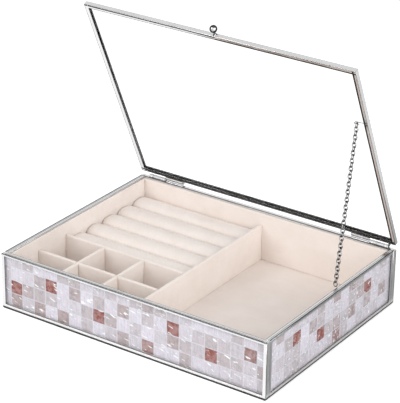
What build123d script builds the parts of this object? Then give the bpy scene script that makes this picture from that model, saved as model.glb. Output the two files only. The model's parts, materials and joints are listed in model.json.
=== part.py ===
from build123d import *
from math import asin, atan2, cos, degrees, hypot, pi, radians, sin
import os

# Glass jewelry box: framed walls of shell mosaic under glass, a velvet lining with compartments
# and ring rolls, and a clear lid that two tube hinges and a stay chain hold open.
# Millimetres. The origin is on the table under the middle of the box, the front faces -Y,
# and every piece is drawn with the lid open as far as the chain lets it.

# Overall sizes of the box without its lid
box_width = 250.0
box_depth = 191.0
box_height = 48.4

# Bottom: felt under a thin board in its own came
felt_thickness = 0.5
felt_inset = 0.4
base_sheet = 0.3
base_board_thickness = 1.0
base_lip = 5.0

# Framed wall panels: came, glass, shell tiles and backing
came_sheet = 0.4
rail_lip = 1.8
post_lip = 2.8
came_chamfer = 0.15
glass_thickness = 2.0
tile_thickness = 0.8
backing_thickness = 1.0
pane_clearance = 0.1

# Shell mosaic
tile_pitch = 11.65
tile_joint = 0.16
tile_start_height = 3.45
front_cut_tile = 7.6
side_cut_tile = 10.8

# Velvet lining
liner_thickness = 1.5
liner_floor_thickness = 3.0
liner_drop = 0.8
chain_side_liner_drop = 3.0
liner_round = 0.5
soft_gap = 0.3

# Dividers
main_divider_x = 0.0
main_divider_thickness = 3.2
divider_drop = 10.8
cross_divider_y = -19.8
row_divider_y = -55.4
small_divider_thickness = 3.0
column_count = 3
divider_round = 1.2
notch_clearance = 0.05

# Ring rolls
roll_count = 5
roll_base_height = 9.0
roll_drop = 3.5
roll_spacing = 0.6
roll_foot_inset = 0.9
roll_shoulder_inset = 0.7
roll_crown_height = 6.0
roll_end_round = 1.2

# Lid
lid_thickness = 3.7
lid_sheet = 0.8
lid_lip = 3.5
lid_gap = 0.2
lid_rear_inset = 2.0
lid_front_overhang = 1.0
lid_open_angle = 65.5

# Tube hinges
hinge_side_inset = 7.2
hinge_length = 34.6
hinge_end_gap = 0.3
knuckle_radius = 2.1
hinge_axis_back = 1.0
pin_radius = 0.8
pin_fixed_clearance = 0.03
pin_running_clearance = 0.06
pin_head_radius = 1.3
pin_head_thickness = 0.5
solder_depth = 1.6
solder_rise = 1.4
solder_foot = 0.7
lid_seat_reach = 0.5
lid_seat_clearance = 0.8

# Knob
knob_ball_radius = 3.1
knob_reach = 6.2
knob_stem_radius = 0.85
knob_foot_radius = 1.8
knob_foot_thickness = 0.4
knob_flare = 1.0
knob_flare_bow = 0.3
knob_ball_bands = 8

# Stay chain and its two eyes
chain_bodies = 7
links_per_body = 6
link_wire = 0.8
link_width = 3.6
link_slack = 0.08
link_arc_runs = 5
link_wire_sides = 6
chain_wall_gap = 0.35
eye_wire = 0.7
eye_wire_sides = 8
eye_swing_gap = 0.15
box_eye_reach = 82.0
box_eye_drop = 1.8
box_eye_length = 2.6
box_eye_gap = 0.22
lid_eye_reach = 138.5
lid_eye_drop = 1.75
lid_eye_overhang = 2.4

# Values worked out from those above
panel_thickness = 2 * came_sheet + glass_thickness + tile_thickness + backing_thickness
base_height = felt_thickness + 2 * base_sheet + base_board_thickness
panel_height = box_height - base_height
side_panel_length = box_depth - 2 * panel_thickness
inner_half_x = box_width / 2 - panel_thickness
inner_half_y = box_depth / 2 - panel_thickness
liner_half_x = inner_half_x - liner_thickness
liner_half_y = inner_half_y - liner_thickness
floor_top = base_height + liner_floor_thickness
liner_top = box_height - liner_drop
divider_top = box_height - divider_drop
bay_front = cross_divider_y + small_divider_thickness / 2
bay_right = main_divider_x - main_divider_thickness / 2
roll_pitch = (liner_half_y - bay_front) / roll_count
roll_base_top = floor_top + roll_base_height
hinge_y = box_depth / 2 + hinge_axis_back
hinge_z = box_height + knuckle_radius
hinge_centre_x = box_width / 2 - hinge_side_inset - hinge_length / 2
lid_bottom = box_height + lid_gap
lid_front = -box_depth / 2 - lid_front_overhang
lid_rear = box_depth / 2 - lid_rear_inset
link_half_width = link_width / 2 - link_wire / 2
chain_x = liner_half_x - chain_wall_gap - link_half_width / cos(pi / (2 * link_arc_runs)) - link_wire / 2


def block(x0, x1, y0, y1, z0, z1):
    """A box between two corners."""
    return Pos((x0 + x1) / 2, (y0 + y1) / 2, (z0 + z1) / 2) * Box(x1 - x0, y1 - y0, z1 - z0)


def opened(shape):
    """Turn a piece of the closed lid about the hinge axis to its open place."""
    turn = Pos(0, hinge_y, hinge_z) * Rot(-lid_open_angle, 0, 0) * Pos(0, -hinge_y, -hinge_z)
    return turn * shape


def lid_point(reach, drop):
    """Y and Z, lid open, of a point that lies that far from the hinge axis and below the box top when shut."""
    angle = radians(lid_open_angle)
    rise = -drop - knuckle_radius
    return (hinge_y - reach * cos(angle) + rise * sin(angle),
            hinge_z + reach * sin(angle) + rise * cos(angle))


# Wall panels, each drawn standing with its outer face on Y = 0 and its middle on X = 0

def came_frame(width, height, thickness, sheet, side_lip, end_lip):
    """Four channels mitred and soldered into one frame, open inwards for the pane."""
    body = block(-width / 2, width / 2, 0, thickness, 0, height)
    body = chamfer(body.edges(), came_chamfer)
    channel = block(-width / 2 + sheet, width / 2 - sheet, sheet, thickness - sheet, sheet, height - sheet)
    window = block(-width / 2 + side_lip, width / 2 - side_lip, 0, thickness, end_lip, height - end_lip)
    return body - channel - window


def pane(width, height, sheet, front, thickness):
    """A sheet that fills the channel from side to side, with the clearance for its edges."""
    edge = sheet + pane_clearance
    return block(-width / 2 + edge, width / 2 - edge, front, front + thickness, edge, height - edge)


def joint_lines(start, end, first):
    """Where the mosaic's joints lie between two ends, from the width of the cut first tile."""
    lines = [start]
    line = start + first
    while line < end - tile_joint:
        lines.append(line)
        line += tile_pitch
    return lines + [end]


def mosaic(width, height, cut_tile):
    """Square shell tiles side by side, cut at the edges of the panel."""
    edge = came_sheet + pane_clearance
    front = came_sheet + glass_thickness
    columns = joint_lines(-width / 2 + edge, width / 2 - edge, cut_tile - edge)
    rows = joint_lines(tile_start_height - base_height, height - edge, tile_pitch)
    half = tile_joint / 2
    tiles = []
    for left, right in zip(columns, columns[1:]):
        for low, high in zip(rows, rows[1:]):
            tiles.append(block(left + half, right - half, front, front + tile_thickness, low + half, high - half))
    return Compound(children=tiles)


def wall_panel(width, cut_tile, place):
    """The four pieces of one wall, moved to their place on the box."""
    tiles_front = came_sheet + glass_thickness
    backing_front = tiles_front + tile_thickness
    pieces = {
        "came": came_frame(width, panel_height, panel_thickness, came_sheet, post_lip, rail_lip),
        "glass": pane(width, panel_height, came_sheet, came_sheet, glass_thickness),
        "shell_tiles": mosaic(width, panel_height, cut_tile),
        "backing": pane(width, panel_height, came_sheet, backing_front, backing_thickness),
    }
    return {name: place * piece for name, piece in pieces.items()}


def wall_panels():
    """Front and back run the full width, and the two sides fit between them."""
    places = {
        "front": (box_width, front_cut_tile, Pos(0, -box_depth / 2, base_height)),
        "back": (box_width, front_cut_tile, Pos(0, box_depth / 2, base_height) * Rot(0, 0, 180)),
        "right": (side_panel_length, side_cut_tile, Pos(box_width / 2, 0, base_height) * Rot(0, 0, 90)),
        "left": (side_panel_length, side_cut_tile, Pos(-box_width / 2, 0, base_height) * Rot(0, 0, -90)),
    }
    nodes = {}
    for side, (width, cut_tile, place) in places.items():
        for name, piece in wall_panel(width, cut_tile, place).items():
            nodes[side + "_" + name] = piece
    return nodes


# Bottom

def bottom():
    """The felt, the board and the came round the board's edge."""
    half_x = box_width / 2
    half_y = box_depth / 2
    felt = block(-half_x + felt_inset, half_x - felt_inset, -half_y + felt_inset, half_y - felt_inset,
                 0, felt_thickness)
    came = block(-half_x, half_x, -half_y, half_y, felt_thickness, base_height)
    came -= block(-half_x + base_sheet, half_x - base_sheet, -half_y + base_sheet, half_y - base_sheet,
                  felt_thickness + base_sheet, base_height - base_sheet)
    came -= block(-half_x + base_lip, half_x - base_lip, -half_y + base_lip, half_y - base_lip,
                  felt_thickness, base_height)
    edge = base_sheet + pane_clearance
    board = block(-half_x + edge, half_x - edge, -half_y + edge, half_y - edge,
                  felt_thickness + base_sheet, base_height - base_sheet)
    return {"base_felt": felt, "base_came": came, "base_board": board}


# Velvet lining and dividers

def rounded_top(board, radius):
    """A covered board with its top edges rolled over."""
    top = board.edges().filter_by_position(Axis.Z, board.bounding_box().max.Z, board.bounding_box().max.Z)
    return fillet(top, radius)


def lining():
    """The floor, and four wall linings on it, the right one lower so that the chain's eyes pass over it."""
    floor = block(-inner_half_x, inner_half_x, -inner_half_y, inner_half_y, base_height, floor_top)
    front = block(-inner_half_x, inner_half_x, -inner_half_y, -liner_half_y, floor_top, liner_top)
    back = block(-inner_half_x, inner_half_x, liner_half_y, inner_half_y, floor_top, liner_top)
    left = block(-inner_half_x, -liner_half_x, -liner_half_y, liner_half_y, floor_top, liner_top)
    right = block(liner_half_x, inner_half_x, -liner_half_y, liner_half_y,
                  floor_top, box_height - chain_side_liner_drop)
    return {
        "liner_floor": floor,
        "liner_front": rounded_top(front, liner_round),
        "liner_back": rounded_top(back, liner_round),
        "liner_left": rounded_top(left, liner_round),
        "liner_right": rounded_top(right, liner_round),
    }


def column_lines():
    """X of the dividers between the small compartments, evenly spaced."""
    spacing = (bay_right + liner_half_x) / column_count
    return [-liner_half_x + spacing * number for number in range(1, column_count)]


def dividers():
    """One long divider, one cross divider, and a notched grid for the small compartments."""
    half = small_divider_thickness / 2
    notch = half + notch_clearance
    middle = (floor_top + divider_top) / 2
    main = block(bay_right, bay_right + main_divider_thickness, -liner_half_y, liner_half_y, floor_top, divider_top)
    cross = block(-liner_half_x, bay_right, cross_divider_y - half, cross_divider_y + half, floor_top, divider_top)
    row = rounded_top(block(-liner_half_x, bay_right, row_divider_y - half, row_divider_y + half,
                            floor_top, divider_top), divider_round)
    for x in column_lines():
        row -= block(x - notch, x + notch, row_divider_y - notch, row_divider_y + notch, middle, divider_top)
    nodes = {
        "main_divider": rounded_top(main, divider_round),
        "cross_divider": rounded_top(cross, divider_round),
        "row_divider": row,
    }
    for number, x in enumerate(column_lines(), 1):
        column = rounded_top(block(x - half, x + half, -liner_half_y, cross_divider_y - half,
                                   floor_top, divider_top), divider_round)
        column -= block(x - notch, x + notch, row_divider_y - notch, row_divider_y + notch, floor_top, middle)
        nodes["column_divider_" + str(number)] = column
    return nodes


def roll_section(x, width, height):
    """Outline of a padded roll across X: crowned on top, its sides drawn in at the foot."""
    half = width / 2
    foot = half - roll_foot_inset
    shoulder = half - roll_shoulder_inset
    side_top = height - roll_crown_height
    with BuildSketch(Plane(origin=(x, 0, 0), x_dir=(0, 1, 0), z_dir=(1, 0, 0))) as section:
        with BuildLine():
            Line((-foot, 0), (foot, 0))
            ThreePointArc((foot, 0), (half, side_top / 2), (shoulder, side_top))
            ThreePointArc((shoulder, side_top), (0, height), (-shoulder, side_top))
            ThreePointArc((-shoulder, side_top), (-half, side_top / 2), (-foot, 0))
        make_face()
    return section.sketch


def ring_roll(length, width, height):
    """A padded roll whose two ends draw in all round."""
    end = length / 2
    taper = roll_end_round
    sections = [roll_section(-end, width - 2 * taper, height - taper), roll_section(taper - end, width, height),
                roll_section(end - taper, width, height), roll_section(end, width - 2 * taper, height - taper)]
    return loft(sections, ruled=True)


def ring_bay():
    """The foam base and the rolls on it, side by side from the cross divider to the back."""
    length = bay_right + liner_half_x - 2 * soft_gap
    middle = (bay_right - liner_half_x) / 2
    width = roll_pitch - roll_spacing
    height = divider_top - roll_drop - roll_base_top
    nodes = {"ring_roll_base": block(-liner_half_x, bay_right, bay_front, liner_half_y, floor_top, roll_base_top)}
    for number in range(roll_count):
        y = bay_front + roll_pitch * (number + 0.5)
        nodes["ring_roll_" + str(number + 1)] = Pos(middle, y, roll_base_top) * ring_roll(length, width, height)
    return nodes


# Lid

def lid():
    """The pane in its came frame, drawn shut and then turned open."""
    length = lid_rear - lid_front
    lay = Pos(0, lid_front, lid_bottom + lid_thickness) * Rot(-90, 0, 0)
    frame = came_frame(box_width, length, lid_thickness, lid_sheet, lid_lip, lid_lip)
    glass = pane(box_width, length, lid_sheet, lid_sheet, lid_thickness - 2 * lid_sheet)
    return {"lid_came": opened(lay * frame), "lid_glass": opened(lay * glass)}


def lid_knob():
    """A polished ball, turned in narrow bands, on a stem whose foot flares out on the front rail."""
    stem = knob_stem_radius
    foot = knob_foot_radius
    flat = knob_foot_thickness
    ball_angle = pi - asin(stem / knob_ball_radius)
    ball = [(knob_ball_radius * sin(ball_angle * band / knob_ball_bands),
             knob_reach + knob_ball_radius * cos(ball_angle * band / knob_ball_bands))
            for band in range(knob_ball_bands, -1, -1)]
    with BuildSketch(Plane.XZ) as profile:
        with BuildLine():
            Line((0, 0), (foot, 0))
            Line((foot, 0), (foot, flat))
            ThreePointArc((foot, flat), (stem + (foot - stem) * knob_flare_bow, flat + knob_flare * knob_flare_bow),
                          (stem, flat + knob_flare))
            Polyline((stem, flat + knob_flare), *ball, (0, 0))
        make_face()
    turned = revolve(profile.sketch, Axis.Z)
    place = Pos(0, lid_front, lid_bottom + lid_thickness / 2) * Rot(90, 0, 0)
    return {"lid_knob": opened(place * turned)}


# Tube hinges

def knuckle(start, end, bore_radius, seat):
    """A tube on the hinge axis with the solder that seats it, given in Y and Z."""
    place = Plane(origin=(start, 0, 0), x_dir=(0, 1, 0), z_dir=(1, 0, 0))
    with BuildSketch(place) as section:
        with BuildLine():
            Polyline(*seat, close=True)
        make_face()
        with Locations((hinge_y, hinge_z)):
            Circle(knuckle_radius)
            Circle(bore_radius, mode=Mode.SUBTRACT)
    return extrude(section.sketch, end - start)


def hinge(side, nodes, name):
    """Outer knuckle on the box, inner knuckle on the lid, and the pin through both."""
    inner = hinge_centre_x - hinge_length / 2
    outer = hinge_centre_x + hinge_length / 2
    split = hinge_centre_x
    half_gap = hinge_end_gap / 2
    rear = box_depth / 2
    box_seat = [(rear - solder_rise, box_height), (rear - solder_foot, hinge_z), (hinge_y, hinge_z),
                (hinge_y + solder_foot, box_height), (rear, box_height - solder_depth), (rear, box_height)]
    lid_seat = [(lid_rear, lid_bottom + lid_seat_clearance), (lid_rear, lid_bottom + lid_thickness - lid_seat_reach),
                (hinge_y - lid_seat_reach, hinge_z + knuckle_radius), (hinge_y, hinge_z),
                (hinge_y - solder_rise, hinge_z - solder_rise)]
    box_knuckle = knuckle(split + half_gap, outer, pin_radius + pin_fixed_clearance, box_seat)
    lid_knuckle = knuckle(inner, split - half_gap, pin_radius + pin_running_clearance, lid_seat)
    axle = Pos((inner + outer) / 2, hinge_y, hinge_z) * Rot(0, 90, 0) * Cylinder(pin_radius, hinge_length)
    for end in (inner - pin_head_thickness / 2, outer + pin_head_thickness / 2):
        axle += Pos(end, hinge_y, hinge_z) * Rot(0, 90, 0) * Cylinder(pin_head_radius, pin_head_thickness)
    if side < 0:
        box_knuckle = mirror(box_knuckle, Plane.YZ)
        lid_knuckle = mirror(lid_knuckle, Plane.YZ)
        axle = mirror(axle, Plane.YZ)
    nodes[name + "_box_knuckle"] = box_knuckle
    nodes[name + "_lid_knuckle"] = opened(lid_knuckle)
    nodes[name + "_pin"] = axle


# Stay chain

def stadium(half_length, half_width, arc_runs):
    """Corners of a closed path with two straight sides and two round ends, in short equal runs."""
    straight = half_length - half_width
    radius = half_width / cos(pi / arc_runs / 2)
    half_path = [(half_width, straight)]
    for run in range(1, arc_runs):
        angle = pi * run / arc_runs
        half_path.append((radius * cos(angle), straight + radius * sin(angle)))
    half_path.append((-half_width, straight))
    return half_path + [(-x, -z) for x, z in half_path]


def mitre(before, corner, after):
    """Outward vector at a corner that keeps every run of the wire equally thick."""
    first = (corner[1] - before[1], before[0] - corner[0])
    second = (after[1] - corner[1], corner[0] - after[0])
    first = tuple(value / hypot(*first) for value in first)
    second = tuple(value / hypot(*second) for value in second)
    share = 1 + first[0] * second[0] + first[1] * second[1]
    return ((first[0] + second[0]) / share, (first[1] + second[1]) / share)


def chain_link(inner_length):
    """One oval link of bent wire in the XZ plane, its wire in flat runs with mitred corners."""
    wire = link_wire / 2
    corners = stadium((inner_length + link_wire) / 2, link_half_width, link_arc_runs)
    section = [(wire * cos(2 * pi * side / link_wire_sides), wire * sin(2 * pi * side / link_wire_sides))
               for side in range(link_wire_sides)]
    rings = []
    for number, corner in enumerate(corners):
        out = mitre(corners[number - 1], corner, corners[(number + 1) % len(corners)])
        rings.append([Vector(corner[0] + out[0] * a, b, corner[1] + out[1] * a) for a, b in section])
    faces = []
    for number, ring in enumerate(rings):
        following = rings[(number + 1) % len(rings)]
        for side in range(link_wire_sides):
            other = (side + 1) % link_wire_sides
            outline = Wire.make_polygon([ring[side], ring[other], following[other], following[side]], close=True)
            faces.append(Face(outline))
    return Solid(Shell(faces))


def chain_ends():
    """Pivots of the straight chain on the lid's eye and at the box's eye, as X, Y, Z."""
    lid_y, lid_z = lid_point(lid_eye_reach, lid_eye_drop)
    return (chain_x, lid_y, lid_z), (chain_x, hinge_y - box_eye_reach, box_height - box_eye_drop)


def chain():
    """Links hooked through each other at right angles, in bodies of a few links each."""
    top, low = chain_ends()
    span = hypot(low[1] - top[1], low[2] - top[2])
    pitch = span / (chain_bodies * links_per_body)
    link = chain_link(pitch + link_slack)
    half = (pitch + link_slack + link_wire) / 2
    tilt = degrees(atan2(top[1] - low[1], low[2] - top[2]))
    along = Pos(*top) * Rot(tilt, 0, 0)
    nodes = {}
    for body in range(chain_bodies):
        links = []
        for number in range(links_per_body):
            count = body * links_per_body + number
            turn = Rot(0, 0, 90) if number % 2 == 0 else Rot(0, 0, 0)
            links.append(along * Pos(0, 0, pitch - half + pitch * count) * turn * link)
        nodes["chain_" + str(chain_bodies - body)] = Compound(children=links)
    return nodes


def bent_wire(path, diameter):
    """A wire along a path of lines and arcs, its section in short flats."""
    start = Plane(origin=path @ 0, z_dir=path % 0)
    return sweep(start * RegularPolygon(diameter / 2, eye_wire_sides), path=path)


def chain_eyes():
    """A staple on the right-hand rim, and a long loop on the lid's right-hand rail."""
    eye_y = hinge_y - box_eye_reach
    eye_z = box_height - box_eye_drop
    bend = box_eye_length / 2 - eye_wire / 2
    reach = chain_x + link_half_width / cos(pi / (2 * link_arc_runs)) + link_wire / 2 + box_eye_gap + eye_wire / 2
    with BuildLine() as staple:
        Line((inner_half_x, eye_y - bend, eye_z), (reach + bend, eye_y - bend, eye_z))
        ThreePointArc((reach + bend, eye_y - bend, eye_z), (reach, eye_y, eye_z), (reach + bend, eye_y + bend, eye_z))
        Line((reach + bend, eye_y + bend, eye_z), (inner_half_x, eye_y + bend, eye_z))
    loop_y = hinge_y - lid_eye_reach
    low = box_height - lid_eye_drop
    high = low + link_width / 2 + eye_wire / 2 + eye_swing_gap
    rail = box_width / 2 - lid_lip
    turn = (high - low) / 2
    inner = chain_x - lid_eye_overhang + turn
    outer = inner_half_x - lid_gap - eye_wire / 2 - turn
    with BuildLine() as loop:
        Line((rail, loop_y, high), (inner, loop_y, high))
        ThreePointArc((inner, loop_y, high), (inner - turn, loop_y, high - turn), (inner, loop_y, low))
        Line((inner, loop_y, low), (outer, loop_y, low))
    return {
        "box_chain_eye": bent_wire(staple.wires()[0], eye_wire),
        "lid_chain_eye": opened(bent_wire(loop.wires()[0], eye_wire)),
    }


def build():
    """Every node of the box by name."""
    nodes = {}
    nodes.update(bottom())
    nodes.update(wall_panels())
    nodes.update(lining())
    nodes.update(dividers())
    nodes.update(ring_bay())
    nodes.update(lid())
    nodes.update(lid_knob())
    hinge(-1, nodes, "left_hinge")
    hinge(1, nodes, "right_hinge")
    nodes.update(chain_eyes())
    nodes.update(chain())
    return nodes


os.makedirs("parts", exist_ok=True)
for node_name, node_shape in build().items():
    export_step(node_shape, "parts/" + node_name + ".step")
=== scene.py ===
import json
from math import asin, atan2, cos, pi, radians, sin
from random import Random

import bmesh
import bpy
from bpy.props import FloatProperty, FloatVectorProperty, IntProperty, PointerProperty
from mathutils import Matrix, Vector, noise

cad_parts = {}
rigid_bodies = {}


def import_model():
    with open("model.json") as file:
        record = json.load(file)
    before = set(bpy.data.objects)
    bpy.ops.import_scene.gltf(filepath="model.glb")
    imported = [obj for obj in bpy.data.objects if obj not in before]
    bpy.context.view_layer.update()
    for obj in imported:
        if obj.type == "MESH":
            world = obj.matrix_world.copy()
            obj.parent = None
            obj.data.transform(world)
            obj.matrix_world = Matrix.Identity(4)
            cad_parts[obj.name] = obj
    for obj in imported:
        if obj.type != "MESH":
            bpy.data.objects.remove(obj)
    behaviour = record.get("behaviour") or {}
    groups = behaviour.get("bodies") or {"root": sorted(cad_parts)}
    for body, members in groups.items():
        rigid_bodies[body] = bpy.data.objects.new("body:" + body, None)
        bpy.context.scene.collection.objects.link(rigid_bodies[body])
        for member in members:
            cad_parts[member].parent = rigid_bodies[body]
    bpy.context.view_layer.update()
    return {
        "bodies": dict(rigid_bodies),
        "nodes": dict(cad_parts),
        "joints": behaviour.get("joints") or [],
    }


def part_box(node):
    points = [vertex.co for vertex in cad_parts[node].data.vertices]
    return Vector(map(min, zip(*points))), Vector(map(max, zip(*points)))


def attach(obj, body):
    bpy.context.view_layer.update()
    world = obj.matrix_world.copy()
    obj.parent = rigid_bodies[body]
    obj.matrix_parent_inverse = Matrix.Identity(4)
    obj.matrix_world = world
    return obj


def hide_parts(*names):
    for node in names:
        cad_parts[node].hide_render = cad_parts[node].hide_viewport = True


bl_info = {
    "name": "Glass Jewelry Box Finish",
    "version": (1, 0, 0),
    "blender": (4, 5, 0),
    "location": "View3D > Sidebar > Jewelry Box",
    "description": "Shell mosaic, velvet, bright metal, glass and chain for a glass jewelry box",
    "category": "Add Mesh",
}

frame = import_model()

MM = 0.001
MERGE = 0.002 * MM  # points nearer than this become one
UP = Vector((0, 0, 1))
OUTWARD = {"front": Vector((0, -1, 0)), "back": Vector((0, 1, 0)), "left": Vector((-1, 0, 0)),
           "right": Vector((1, 0, 0))}
WALLS = tuple(OUTWARD)
BOARDS = ("liner_floor", "liner_front", "liner_back", "liner_left", "liner_right", "main_divider",
          "cross_divider", "row_divider", "column_divider_1", "column_divider_2", "ring_roll_base")
ROLL_COUNT = sum(name.startswith("ring_roll_") for name in frame["nodes"]) - 1
JOINTS = {joint["name"]: joint for joint in frame["joints"]}
CHAIN_BODIES = sum(name.startswith("chain_") for name in frame["bodies"])

# Finishes of a came's faces, as indices of its materials: plain metal, dark lines and a grey band
# The dark lines are the joint where glass comes out, with painted reflection and painted shade; the grey band
# is painted reflection
PLAIN, SEAM_AND_PAINTED_DARK, PAINTED_REFLECTION_BAND = range(3)

# Tiles of the mosaic that stand out, as (column, row) from the wall's left foot, after their span on the
# scale of shades that runs from pale (0) to rose brown (1)
MARKED_TILES = (
    ((0.97, 1.0), {"front": ((1, 1), (4, 2), (8, 1), (14, 2), (17, 1)), "right": ((3, 2), (6, 1), (12, 2))}),
    ((0.88, 0.91), {"front": ((12, 0), (20, 2)), "right": ((8, 0),)}),
    ((0.66, 0.83), {
        "front": ((10, 0), (12, 3), (3, 0), (6, 2), (3, 2), (10, 2), (5, 0), (21, 1), (14, 1), (1, 0)),
        "right": ((8, 3), (10, 1), (14, 1), (10, 3), (8, 1))}),
)
USUAL_SHADE = 0.7  # the darkest of the other tiles
ROSE_CHANCE = 0.06  # of a tile on a wall without marked ones
PILLOW = 0.18  # how far a tile's face falls off at its edge, as a share of its thickness

# Half sizes of the drops of solder
CORNER_DROP = Vector((1.9, 1.8, 0.22)) * MM
RIM_DROP = Vector((0.95, 1.2, 0.22)) * MM
FOOT_DROP = Vector((0.7, 2.0, 0.8)) * MM
HINGE_DROP = Vector((1.9, 1.0, 0.8)) * MM

# The camera that was fitted to the photograph
FOCAL_PIXELS = 1970.7
PHOTO_SIDE = 403  # pixels on the longer side
SENSOR = 36  # millimetres on the longer side


def colour(red, green, blue):
    """A colour written as 0 to 255 on screen, in the linear values that Blender stores."""
    values = [part / 255 for part in (red, green, blue)]
    return tuple(part / 12.92 if part <= 0.04045 else ((part + 0.055) / 1.055) ** 2.4 for part in values)


# Settings that a user would change

def length_setting(name, description, millimetres):
    """A setting for a length, written in millimetres."""
    return FloatProperty(name=name, description=description, default=millimetres * MM, unit="LENGTH",
                         precision=5)


def angle_setting(name, description, degrees):
    """A setting for an angle, written in degrees."""
    return FloatProperty(name=name, description=description, default=radians(degrees), unit="ROTATION")


def colour_setting(name, description, *screen):
    """A setting for a colour, written as 0 to 255 on screen."""
    return FloatVectorProperty(name=name, description=description, subtype="COLOR", size=3,
                               default=colour(*screen), min=0, max=1)


class MosaicSettings(bpy.types.PropertyGroup):
    pitch: length_setting("Tile Pitch", "Distance between two joints of the mosaic", 11.65)
    joint: length_setting("Joint", "Width of the joint between two tiles", 0.16)
    front_cut: length_setting("Front Cut Tile", "Width of the cut tile at the start of a long wall", 7.6)
    side_cut: length_setting("Side Cut Tile", "Width of the cut tile at the start of a short wall", 10.8)
    first_row: length_setting("First Row", "Height above the table where the first row starts", 3.45)
    setback: length_setting("Setback", "Air between the glass and the face of a tile", 0.08)
    tilt: angle_setting("Tilt", "How far a tile may lean out of the wall's plane", 0.35)
    seed: IntProperty(name="Seed", description="Seed of the tiles' shades and leans", default=11, min=0)
    pale: colour_setting("Pale Shell", "Lightest shell", 229, 224, 235)
    lilac: colour_setting("Lilac Shell", "Usual shell", 206, 200, 207)
    blush: colour_setting("Blush Shell", "Pinkish grey shell", 190, 181, 184)
    dusky: colour_setting("Dusky Shell", "Grey brown shell", 168, 148, 147)
    play: colour_setting("Play of Colour", "Pinkish light in the shell's patches", 224, 204, 210)
    rose: colour_setting("Rose Shell", "Rose brown accent shell", 146, 70, 54)


class MetalSettings(bpy.types.PropertyGroup):
    silver: colour_setting("Silver", "Colour of the came and the chain", 233, 233, 234)
    shade: colour_setting("Tarnish", "Colour in the came's corners and seams", 120, 116, 113)
    # The seam colour is also the dark of painted reflection and painted shade on the came and the round
    # pieces
    seam: colour_setting("Seam", "Colour of the line where the glass meets the came", 26, 25, 26)
    # The fold colour is a grey band of painted reflection down the rims and on the walls' lip edges
    painted_reflection_grey: colour_setting("Fold", "Colour of the folded seams along the came", 112, 112, 115)
    edge: length_setting("Edge Rounding", "Rounding of the came's sharp edges", 0.07)
    # Width of the came's dark lines and grey band, which are painted reflection and painted shade with the
    # glass joint
    fold_width: length_setting("Fold Width", "Width of the dark seams along a came", 0.5)
    lid_lip: length_setting("Lid Lip", "Width of the lip that holds the lid's pane", 3.5)


class VelvetSettings(bpy.types.PropertyGroup):
    # The two naps are painted sheen: the one cream lit and shaded by the way of its nap
    light: colour_setting("Light Nap", "Velvet with its nap towards the light", 247, 238, 232)
    deep: colour_setting("Deep Nap", "Velvet with its nap away from the light", 240, 229, 221)
    cell: length_setting("Cell", "Spacing of the points that carry the velvet's unevenness", 5)
    sink: length_setting("Sink", "How far the velvet's surface dips between its high places", 0.22)
    corner: length_setting("Corner", "Rounding where the velvet folds round a board", 0.45)


class ChainSettings(bpy.types.PropertyGroup):
    links: IntProperty(name="Links", description="Links in each body of the chain", default=6, min=1)
    wire: length_setting("Wire", "Diameter of the link's wire", 0.92)
    width: length_setting("Width", "Outer width of a link", 3.9)
    slack: length_setting("Slack", "Play between two links", 0.08)


class KnobSettings(bpy.types.PropertyGroup):
    ball: length_setting("Ball", "Radius of the ball", 3.1)
    reach: length_setting("Reach", "Distance from the rail to the ball's middle", 6.2)
    stem: length_setting("Stem", "Radius of the stem", 0.85)
    foot: length_setting("Foot", "Radius of the flared foot", 1.8)


class StageSettings(bpy.types.PropertyGroup):
    place: FloatVectorProperty(name="Camera Place", description="Where the camera stands", subtype="XYZ",
                               size=3, default=(0.78765, -1.16078, 0.74672), unit="LENGTH")
    azimuth: angle_setting("Azimuth", "How far the camera stands round to the right", 34.178)
    elevation: angle_setting("Elevation", "How steeply the camera looks down", 25.018)
    roll: angle_setting("Roll", "How far the camera leans", 0.843)
    focal: FloatProperty(name="Focal Length", description="Focal length in millimetres on the sensor",
                         default=FOCAL_PIXELS * SENSOR / PHOTO_SIDE)
    floor: FloatVectorProperty(name="Floor", description="Colour of the floor", subtype="COLOR", size=3,
                               default=(0.86, 0.86, 0.86), min=0, max=1)
    fill: FloatProperty(name="Fill", description="Strength of the light that comes from all round",
                        default=0.9, min=0)


class JewelryBoxSettings(bpy.types.PropertyGroup):
    mosaic: PointerProperty(type=MosaicSettings)
    metal: PointerProperty(type=MetalSettings)
    velvet: PointerProperty(type=VelvetSettings)
    chain: PointerProperty(type=ChainSettings)
    knob: PointerProperty(type=KnobSettings)
    stage: PointerProperty(type=StageSettings)


def settings():
    """The box's settings on the current scene."""
    return bpy.context.scene.jewelry_box


# Node trees

def add_node(tree, kind, inputs=None, **options):
    """A node with its options set, and each input joined to a socket or given a value."""
    node = tree.nodes.new(kind)
    for option, value in options.items():
        setattr(node, option, value)
    for socket, value in (inputs or {}).items():
        if isinstance(value, bpy.types.NodeSocket):
            tree.links.new(value, node.inputs[socket])
        else:
            node.inputs[socket].default_value = value
    return node


def made(tree, kind, inputs=None, **options):
    """What a new node gives out first."""
    return add_node(tree, kind, inputs, **options).outputs[0]


def calculate(tree, operation, *values):
    """The result of one sum on numbers or sockets."""
    return made(tree, "ShaderNodeMath", dict(enumerate(values)), operation=operation)


def plus(tree, first, second):
    """The sum of two numbers or sockets."""
    return calculate(tree, "ADD", first, second)


def minus(tree, first, second):
    """The first without the second."""
    return calculate(tree, "SUBTRACT", first, second)


def times(tree, first, second):
    """The product of two numbers or sockets."""
    return calculate(tree, "MULTIPLY", first, second)


def remap(tree, value, low, high, new_low=0.0, new_high=1.0):
    """A value carried from one range to another, and held inside it."""
    return made(tree, "ShaderNodeMapRange", {"Value": value, "From Min": low, "From Max": high,
                                             "To Min": new_low, "To Max": new_high})


def vector(tree, **parts):
    """A vector with some of its parts, X, Y and Z, given."""
    return made(tree, "ShaderNodeCombineXYZ", parts)


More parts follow.
